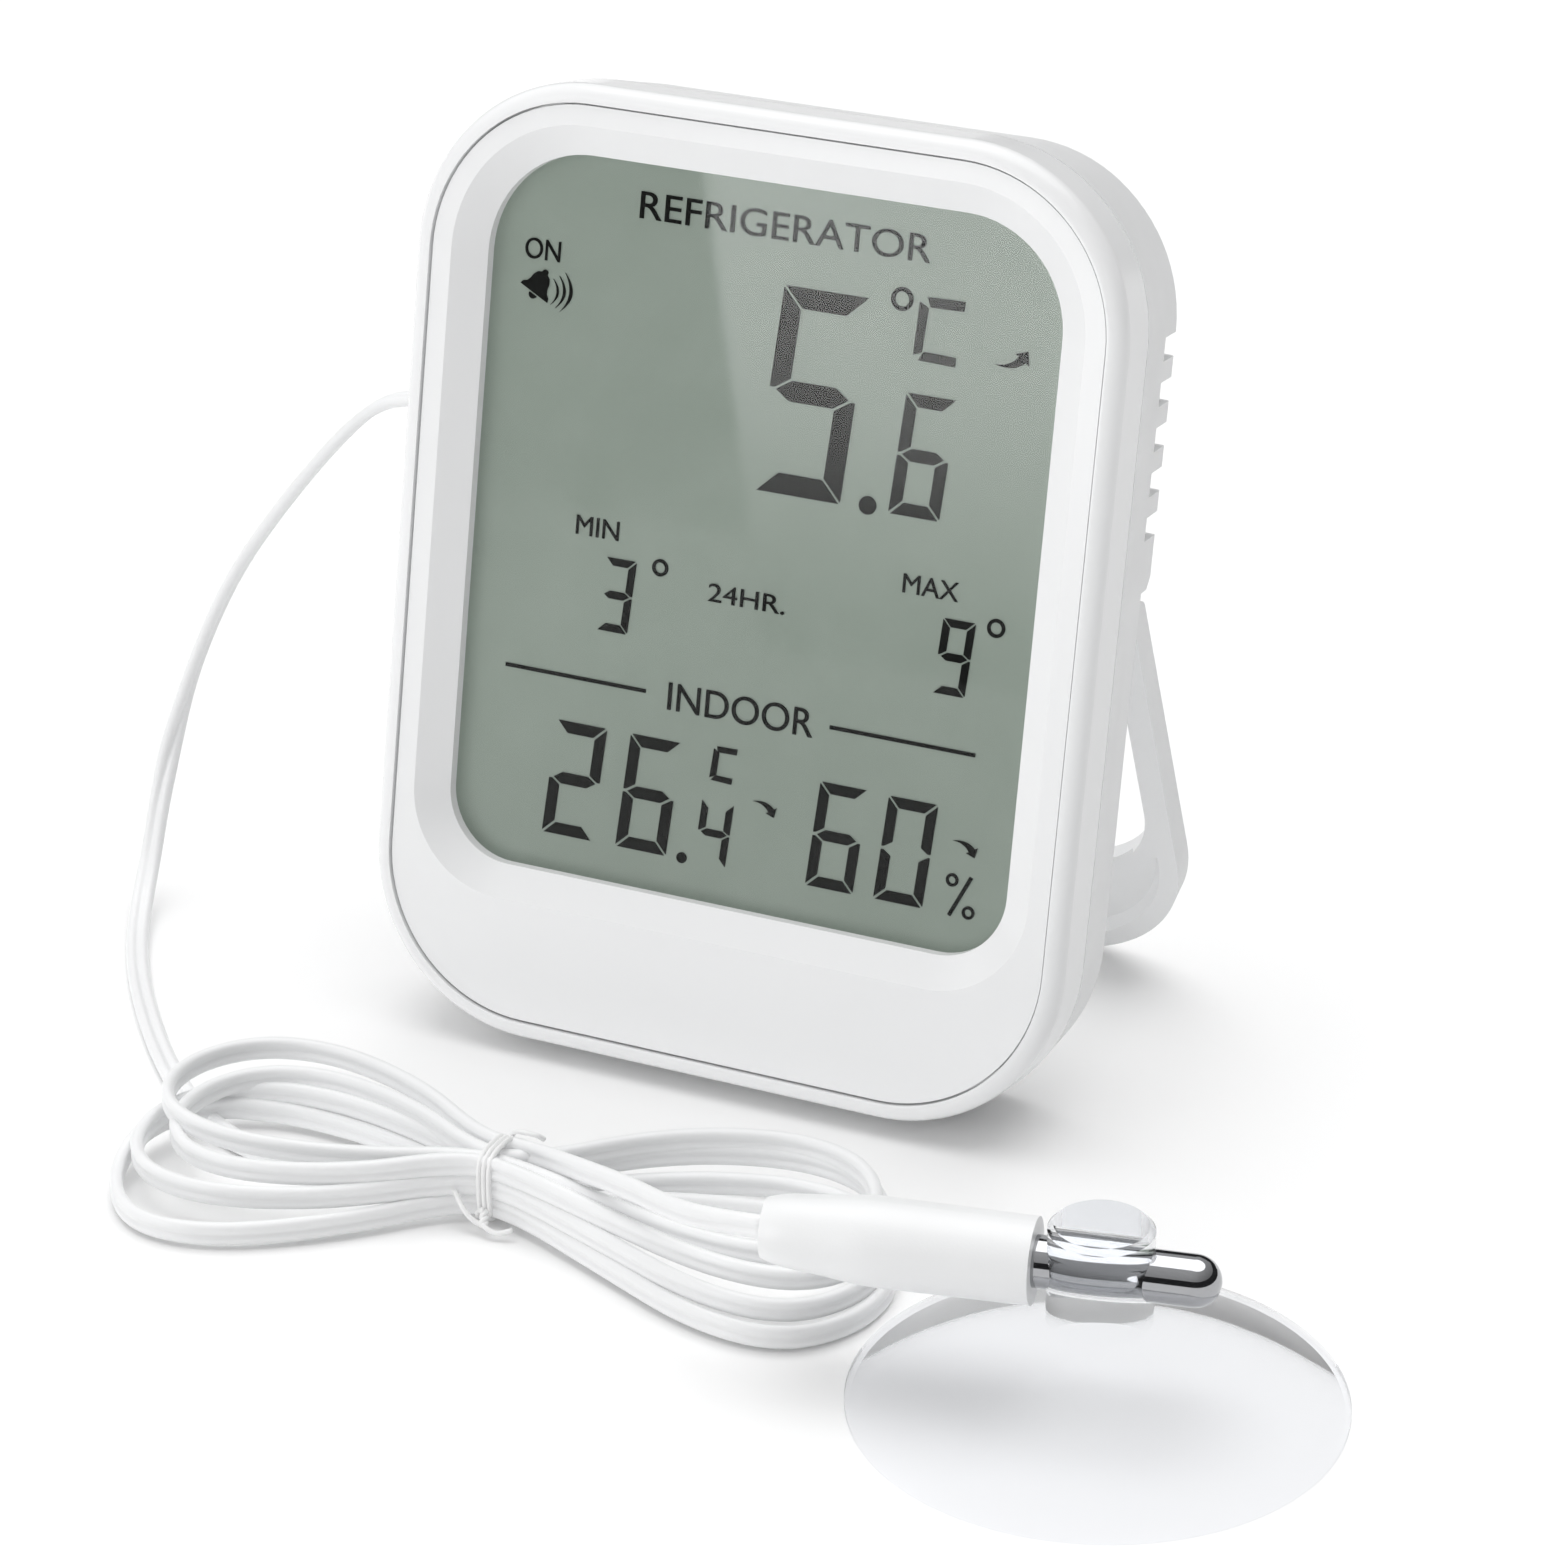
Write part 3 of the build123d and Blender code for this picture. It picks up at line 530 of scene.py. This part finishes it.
lobe_r = cord_thick / 2
lobe_at = cord_wide / 2 - lobe_r
waist = 0.4  # half the web's thickness between the two cores
places = np.array([0.0, 0.16, 0.3, 0.45, 0.62, 0.8, 0.95, 1.05, 1.09, 1.1])
heights = np.sqrt(np.clip(lobe_r**2 - (places - lobe_at) ** 2, 0.0, None))
heights = np.where(places < 0.2, np.maximum(waist, heights), heights)
heights[0] = waist * 0.93
quarter = np.column_stack([places, heights])
twin = np.concatenate(
    [
        quarter,
        quarter[-2::-1] * (1, -1),
        quarter[1:] * (-1, -1),
        quarter[-2:0:-1] * (-1, 1),
    ]
)
cord_points, cord_faces = swept(cord_line, cord_turned, twin * MM)
cord = new_piece("cord", cord_points, cord_faces, "cord_white", "case")
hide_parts("cord_lead", "cord_hank", "cord_tail")

# --- The tie: one thin wire, three turns round the hank and a twisted knot --------
wire_r = 0.24
band_y, band_z = 2.88, 3.42  # half sizes of a turn
band_mid_z = 3.8
wire_pitch = 0.5
wraps = 3
steps_per_wrap = 16
knot_turns = 1.5
knot_from, knot_to = Vector((-6.0, -52.3, 2.2)), Vector((-5.6, -53.3, 1.1))
knot_r = 0.27


def band(turn_angle, x):
    """A point on a squared turn round the bundle."""
    c, s = math.cos(turn_angle), math.sin(turn_angle)
    return (
        x,
        tie_y + band_y * math.copysign(abs(c) ** 0.55, c),
        band_mid_z + band_z * math.copysign(abs(s) ** 0.55, s),
    )


def twist(phase, count=7):
    """One wire's points down the knot, wound about its axis."""
    way = (knot_to - knot_from).normalized()
    side = way.cross(Vector((1, 0, 0))).normalized()
    other = way.cross(side)
    points = []
    for k in range(count):
        share = k / (count - 1)
        angle = phase + share * knot_turns * 2 * math.pi
        spot = knot_from.lerp(knot_to, share)
        points.append(tuple(spot + (side * math.cos(angle) + other * math.sin(angle)) * knot_r))
    return points


knot_angle = math.radians(212)
wound = []
for k in range(wraps * steps_per_wrap + 1):
    share = k / steps_per_wrap
    wound.append(
        band(knot_angle + share * 2 * math.pi, tie_x + (share - wraps / 2) * wire_pitch)
    )
wire_route = [(-8.9, -52.4, 3.5), (-8.1, -52.9, 2.6), (-7.0, -53.3, 1.6)]
wire_route += list(reversed(twist(0.0))) + wound
wire_route += twist(math.pi) + [(-4.6, -53.5, 0.8), (-3.7, -53.3, 0.8), (-2.9, -52.9, 1.2)]
hook_route = [
    (-6.4, -46.35, 5.6),
    (-6.2, -46.5, 7.0),
    (-5.3, -46.9, 7.5),
    (-4.2, -47.1, 7.7),
    (-3.2, -47.0, 7.6),
    (-2.9, -46.6, 7.1),
]
tie_points, tie_faces = [], []
for route in (wire_route, hook_route):
    line = smooth_line(route, 6)
    points, faces = swept(line, steady_wide(line), circle(wire_r * MM, 10))
    start = len(tie_points)
    tie_points += list(points)
    tie_faces += [tuple(i + start for i in face) for face in faces]
tie = new_piece("wire_tie", tie_points, tie_faces, "tie_white", "case")
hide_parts("twist_tie")

# --- What the display shows ----------------------------------------------------
ink_front, ink_back = 3.84, 3.97
lean_of_digits = 0.066
gap = 0.17


class Ink:
    """Thin prisms on the display glass, gathered into one mesh."""

    def __init__(self):
        self.points, self.faces = [], []

    def shape(self, outline):
        """One closed outline in the case's own millimetres."""
        edges = zip(outline, outline[1:] + outline[:1])
        if sum(a[0] * b[1] - b[0] * a[1] for a, b in edges) < 0:
            outline = outline[::-1]
        start, count = len(self.points), len(outline)
        self.points += [on_face(x, y, ink_front) for x, y in outline]
        self.points += [on_face(x, y, ink_back) for x, y in outline]
        self.faces.append(tuple(start + k for k in range(count)))
        self.faces.append(tuple(start + count + k for k in reversed(range(count))))
        for k in range(count):
            after = (k + 1) % count
            self.faces.append(
                (start + k, start + count + k, start + count + after, start + after)
            )

    def ring(self, x, y, outer, inner, start=0.0, end=360.0, parts=32):
        """A ring or part of one, by angles from +x."""
        turns = [math.radians(start + (end - start) * k / parts) for k in range(parts + 1)]
        for a, b in zip(turns, turns[1:]):
            self.shape(
                [
                    (x + math.cos(t) * r, y + math.sin(t) * r)
                    for t, r in ((a, inner), (a, outer), (b, outer), (b, inner))
                ]
            )

    def disc(self, x, y, radius, parts=24):
        """A filled round dot."""
        turns = [2 * math.pi * k / parts for k in range(parts)]
        self.shape([(x + math.cos(t) * radius, y + math.sin(t) * radius) for t in turns])

    def stroke(self, a, b, thick):
        """A straight bar between two points."""
        way = Vector((b[0] - a[0], b[1] - a[1])).normalized()
        side = Vector((-way.y, way.x)) * thick / 2
        self.shape(
            [
                (a[0] - side.x, a[1] - side.y),
                (b[0] - side.x, b[1] - side.y),
                (b[0] + side.x, b[1] + side.y),
                (a[0] + side.x, a[1] + side.y),
            ]
        )

    def crescent(self, a, b, bulge, thick, parts=14):
        """A tapered arc between two points, bulging to the right of the way from b to a."""
        chord = Vector((a[0] - b[0], a[1] - b[1])).normalized()
        side = Vector((chord.y, -chord.x))
        rows = []
        for swell in (bulge, bulge - thick):
            shares = [k / parts for k in range(parts + 1)]
            rows.append(
                [
                    tuple(Vector(a).lerp(Vector(b), t) + side * (4 * swell * t * (1 - t)))
                    for t in shares
                ]
            )
        self.shape(rows[0] + rows[1][-2:0:-1])

    def curved_arrow(self, tail, tip, side, parts=8):
        """A tapered arrow that sags to one side on its way to the tip."""
        along = Vector((tip[0] - tail[0], tip[1] - tail[1]))
        over = Vector((-along.y, along.x)) * side
        outer, inner = [], []
        for k in range(parts + 1):
            t = k / parts
            outer.append((0.83 * t, -0.26 * t - 0.5 * t * (1 - t)))
            inner.append((0.715 * t, -0.04 * t - 0.38 * t * (1 - t)))
        head = [(0.89, -0.365), (1.0, 0.0), (0.64, 0.06)]
        spots = outer + head + inner[:0:-1]
        self.shape([tuple(Vector(tail) + along * u + over * v) for u, v in spots])

    def digit(self, which, x, y, wide, tall, thick, middle=0.5):
        """A slanted seven-segment digit; x, y is its lower left corner."""
        t, m, w, h = thick, tall * middle, wide, tall
        g = gap * min(1.0, thick)
        k, p = t / 2, t / 4
        bars = {
            "a": [(g, h), (w - g, h), (w - t - g, h - t), (t + g, h - t)],
            "b": [(w, h - g), (w, m + g), (w - p, m + g), (w - t, m + k + g), (w - t, h - t - g)],
            "c": [(w, g), (w, m - g), (w - p, m - g), (w - t, m - k - g), (w - t, t + g)],
            "d": [(g, 0), (w - g, 0), (w - t - g, t), (t + g, t)],
            "e": [(0, g), (0, m - g), (p, m - g), (t, m - k - g), (t, t + g)],
            "f": [(0, h - g), (0, m + g), (p, m + g), (t, m + k + g), (t, h - t - g)],
            "g": [
                (p + g, m),
                (t + g, m + k),
                (w - t - g, m + k),
                (w - p - g, m),
                (w - t - g, m - k),
                (t + g, m - k),
            ],
        }
        for name in SEGMENTS[which]:
            self.shape([(x + px + lean_of_digits * py, y + py) for px, py in bars[name]])

    def piece(self, name):
        """The finished mesh piece."""
        made = new_piece(name, self.points, self.faces, "lcd_ink", "case", smooth=False)
        return made


SEGMENTS = {
    "0": "abcdef",
    "2": "abged",
    "3": "abgcd",
    "4": "fgbc",
    "5": "afgcd",
    "6": "afgecd",
    "9": "abcdfg",
}


def legend(text, left, right, bottom, top):
    """A printed word that fills a box on the display."""
    curve = bpy.data.curves.new(text, "FONT")
    curve.body = text
    curve.extrude = (ink_back - ink_front) * MM / 2
    holder = bpy.data.objects.new(text, curve)
    mesh = bpy.data.meshes.new_from_object(holder)
    flat = np.array([v.co for v in mesh.vertices])
    low, high = flat.min(0), flat.max(0)
    faces = [tuple(p.vertices) for p in mesh.polygons]
    points = []
    for x, y, z in flat:
        share_x = (x - low[0]) / (high[0] - low[0])
        share_y = (y - low[1]) / (high[1] - low[1])
        deep = (ink_front + ink_back) / 2 - z / MM
        points.append(
            on_face(left + share_x * (right - left), bottom + share_y * (top - bottom), deep)
        )
    bpy.data.objects.remove(holder)
    name = "legend_" + "".join(c for c in text.lower() if c.isalnum())
    made = new_piece(name, points, faces, "lcd_ink", "case", smooth=False)


top_reading = Ink()
top_reading.digit("5", -0.65, 10.2, 8.45, 18.95, 1.9)
top_reading.disc(10.54, 10.55, 0.85)
top_reading.digit("6", 12.6, 10.2, 4.95, 11.1, 1.15)
top_reading.ring(12.08, 29.57, 1.08, 0.68)
top_reading.shape([(14.5, 30.1), (18.16, 30.2), (18.1, 29.3), (14.9, 29.2)])
top_reading.shape([(13.8, 29.6), (14.7, 29.1), (14.4, 25.1), (13.6, 24.75)])
top_reading.shape([(14.1, 24.35), (17.7, 24.25), (17.75, 25.1), (14.6, 25.2)])
top_reading.curved_arrow((21.4, 25.16), (24.5, 26.7), 1)
top_reading.piece("reading_top")

bell = Ink()
bell_mid = Vector((-24.42, 24.76))
bell_tilt = Matrix.Rotation(math.radians(-27.5), 2)
# Half of the bell, across its axis and up from its lip.
bell_half = [(1.6, 0.0), (1.5, 0.35), (1.15, 0.62), (0.98, 1.05), (0.92, 1.5), (0.68, 1.95)]
bell_half += [(0.3, 2.15), (0.28, 2.38), (0.12, 2.52)]
bell_outline = bell_half + [(-x, y) for x, y in reversed(bell_half)]
bell.shape([tuple(bell_mid + bell_tilt @ Vector(spot)) for spot in bell_outline])
clapper_r, clapper_drop = 0.42, 0.17
clapper = [math.pi * (1 + k / 12) for k in range(13)]
bell.shape(
    [
        tuple(
            bell_mid
            + bell_tilt @ Vector((math.cos(t) * clapper_r, math.sin(t) * clapper_r - clapper_drop))
        )
        for t in clapper
    ]
)
for step in range(3):
    bell.crescent(
        (-22.5 + 0.58 * step, 26.3 + 0.37 * step),
        (-22.64 + 0.5 * step, 23.9 - 0.25 * step),
        0.68 + 0.16 * step,
        0.2 + 0.05 * step,
    )
bell.piece("alarm_bell")

minimum = Ink()
minimum.digit("3", -15.45, -5.45, 3.15, 6.95, 0.72)
minimum.ring(-9.44, 1.38, 0.81, 0.5)
minimum.stroke((-24.5, -10.4), (-9.9, -10.4), 0.35)
minimum.piece("reading_minimum")

maximum = Ink()
maximum.digit("9", 18.45, -5.35, 3.15, 6.95, 0.72)
maximum.ring(24.02, 1.52, 0.87, 0.55)
maximum.stroke((8.8, -10.4), (23.2, -10.4), 0.35)
maximum.piece("reading_maximum")

indoor = Ink()
indoor.digit("2", -19.45, -25.65, 5.2, 10.95, 1.1)
indoor.digit("6", -11.75, -25.6, 5.2, 10.95, 1.1)
indoor.shape([(-2.2, -14.25), (-0.16, -14.2), (-0.2, -14.75), (-2.1, -14.8)])
indoor.shape([(-2.5, -14.5), (-1.95, -14.9), (-2.1, -17.0), (-2.75, -17.3)])
indoor.shape([(-2.6, -17.5), (-0.5, -17.6), (-0.45, -17.05), (-2.2, -17.0)])
indoor.disc(-4.89, -25.45, 0.52)
indoor.digit("4", -3.65, -25.6, 3.2, 6.15, 0.68)
indoor.curved_arrow((1.85, -18.7), (4.05, -19.9), -1)
indoor.piece("reading_indoor")

humidity = Ink()
humidity.digit("6", 7.75, -25.55, 4.75, 9.95, 1.0)
humidity.digit("0", 14.6, -25.5, 4.85, 9.85, 1.0)
humidity.curved_arrow((21.85, -18.6), (24.1, -19.85), -1)
humidity.ring(22.14, -22.28, 0.62, 0.34, parts=20)
humidity.ring(23.99, -25.05, 0.62, 0.34, parts=20)
humidity.stroke((22.14, -25.61), (23.98, -21.73), 0.36)
humidity.piece("reading_humidity")

legend("REFRIGERATOR", -14.3, 14.44, 33.08, 35.6)
legend("ON", -25.6, -22.0, 27.87, 29.8)
legend("MIN", -18.3, -13.9, 3.13, 4.93)
legend("24HR.", -4.4, 3.3, -0.87, 0.83)
legend("MAX", 14.67, 20.09, 3.25, 5.0)
legend("INDOOR", -7.6, 7.13, -11.75, -9.1)

# --- Floor and light -------------------------------------------------------------
# The sky is brightest overhead and to the left, so the right side falls into shade.
sky_way = (-0.6, 0.0, 0.8)
sky_low, sky_high = 0.1, 0.7
sky_dim_at, sky_bright_at = -0.6, 0.9  # how far along sky_way the two strengths are met
floor_half = 4.0
floor_cells = 24
mesh = bmesh.new()
bmesh.ops.create_grid(mesh, x_segments=floor_cells, y_segments=floor_cells, size=floor_half)
floor_mesh = bpy.data.meshes.new("floor")
mesh.to_mesh(floor_mesh)
mesh.free()
mats["floor"] = finish_material("floor", (0.93, 0.93, 0.93), 0.9, 300.0, 0.0, 0.004, 8.0)
floor_mesh.materials.append(mats["floor"])
floor = bpy.data.objects.new("floor", floor_mesh)
bpy.context.collection.objects.link(floor)

world = bpy.data.worlds.new("studio")
bpy.context.scene.world = world
world.use_nodes = True
sky = world.node_tree
sky_from = sky.nodes.new("ShaderNodeTexCoord")
sky_lean = sky.nodes.new("ShaderNodeVectorMath")
sky_lean.operation = "DOT_PRODUCT"
sky_lean.inputs[1].default_value = sky_way
sky_shade = sky.nodes.new("ShaderNodeMapRange")
sky_shade.inputs["From Min"].default_value = sky_dim_at
sky_shade.inputs["From Max"].default_value = sky_bright_at
sky_shade.inputs["To Min"].default_value = sky_low
sky_shade.inputs["To Max"].default_value = sky_high
sky.links.new(sky_from.outputs["Generated"], sky_lean.inputs[0])
sky.links.new(sky_lean.outputs["Value"], sky_shade.inputs["Value"])
sky.links.new(sky_shade.outputs["Result"], sky.nodes["Background"].inputs["Strength"])
sky.nodes["Background"].inputs["Color"].default_value = (1.0, 1.0, 1.0, 1.0)


def sun(name, toward, strength, softness, shadow=True):
    """A distant soft light shining along a direction."""
    data = bpy.data.lights.new(name, "SUN")
    data.energy = strength
    data.angle = math.radians(softness)
    data.use_shadow = shadow
    lamp = bpy.data.objects.new(name, data)
    bpy.context.collection.objects.link(lamp)
    lamp.rotation_euler = Vector(toward).to_track_quat("-Z", "Y").to_euler()


def shine_only(thing):
    """Leave a stage piece to show in reflections and nowhere else."""
    thing.visible_camera = False
    thing.visible_diffuse = False
    thing.visible_shadow = False
    thing.visible_transmission = False


sun("key", toward=(0.0, -0.2, -1.0), strength=1.7, softness=60.0)
sun("front", toward=(0.5, 0.8, -0.2), strength=0.85, softness=40.0, shadow=False)

# A glowing card that only shiny things show, fading towards its lower edge. It stands
# where the camera's view comes back from the right half of the window, so its slanted
# patch is right from the main camera only.
card_edge = [(-8.4, 40.0), (2.0, -4.0), (34.0, -4.0), (34.0, 42.0)]
card_far = 0.45
card_glow = 7.5
card_fade = 0.75  # share of its height over which it fades
lens_depth = 3.0
corners = []
for x, y in card_edge:
    spot = on_face(x, y, lens_depth)
    seen = (spot - camera_at).normalized()
    corners.append(spot + (seen - 2 * seen.dot(FRONT) * FRONT) * card_far)
card_mesh = bpy.data.meshes.new("card")
card_mesh.from_pydata([tuple(c) for c in corners], [], [(0, 1, 2, 3)])
card_map = card_mesh.uv_layers.new(name="card")
for corner, place in enumerate(((0.0, 1.0), (0.0, 0.0), (1.0, 0.0), (1.0, 1.0))):
    card_map.data[corner].uv = place
card_material = bpy.data.materials.new("card")
card_material.use_nodes = True
glow_tree = card_material.node_tree
glow_tree.nodes.remove(glow_tree.nodes["Principled BSDF"])
glow = glow_tree.nodes.new("ShaderNodeEmission")
glow_from = glow_tree.nodes.new("ShaderNodeUVMap")
glow_split = glow_tree.nodes.new("ShaderNodeSeparateXYZ")
glow_fade = glow_tree.nodes.new("ShaderNodeMapRange")
glow_fade.interpolation_type = "SMOOTHSTEP"
glow_fade.inputs["From Max"].default_value = card_fade
glow_fade.inputs["To Max"].default_value = card_glow
glow_tree.links.new(glow_from.outputs["UV"], glow_split.inputs["Vector"])
glow_tree.links.new(glow_split.outputs["Y"], glow_fade.inputs["Value"])
glow_tree.links.new(glow_fade.outputs["Result"], glow.inputs["Strength"])
glow_tree.links.new(
    glow.outputs["Emission"], glow_tree.nodes["Material Output"].inputs["Surface"]
)
card_mesh.materials.append(card_material)
card = bpy.data.objects.new("card", card_mesh)
bpy.context.collection.objects.link(card)
shine_only(card)

# A dark screen round the set, low down, that only shiny things show.
flag_far, flag_low, flag_high, flag_sides = 1.4, 0.02, 0.62, 48
flag_ring = circle(flag_far, flag_sides)
flag_points = [(x, y, z) for z in (flag_low, flag_high) for x, y in flag_ring]
flag_faces = [
    (k, (k + 1) % flag_sides, (k + 1) % flag_sides + flag_sides, k + flag_sides)
    for k in range(flag_sides)
]
mats["flag"] = finish_material("flag", (0.02, 0.02, 0.022), 0.9, 20.0, 0.0, 0.2, 4.0)
flag = new_piece("flag", flag_points, flag_faces, "flag", None)
shine_only(flag)
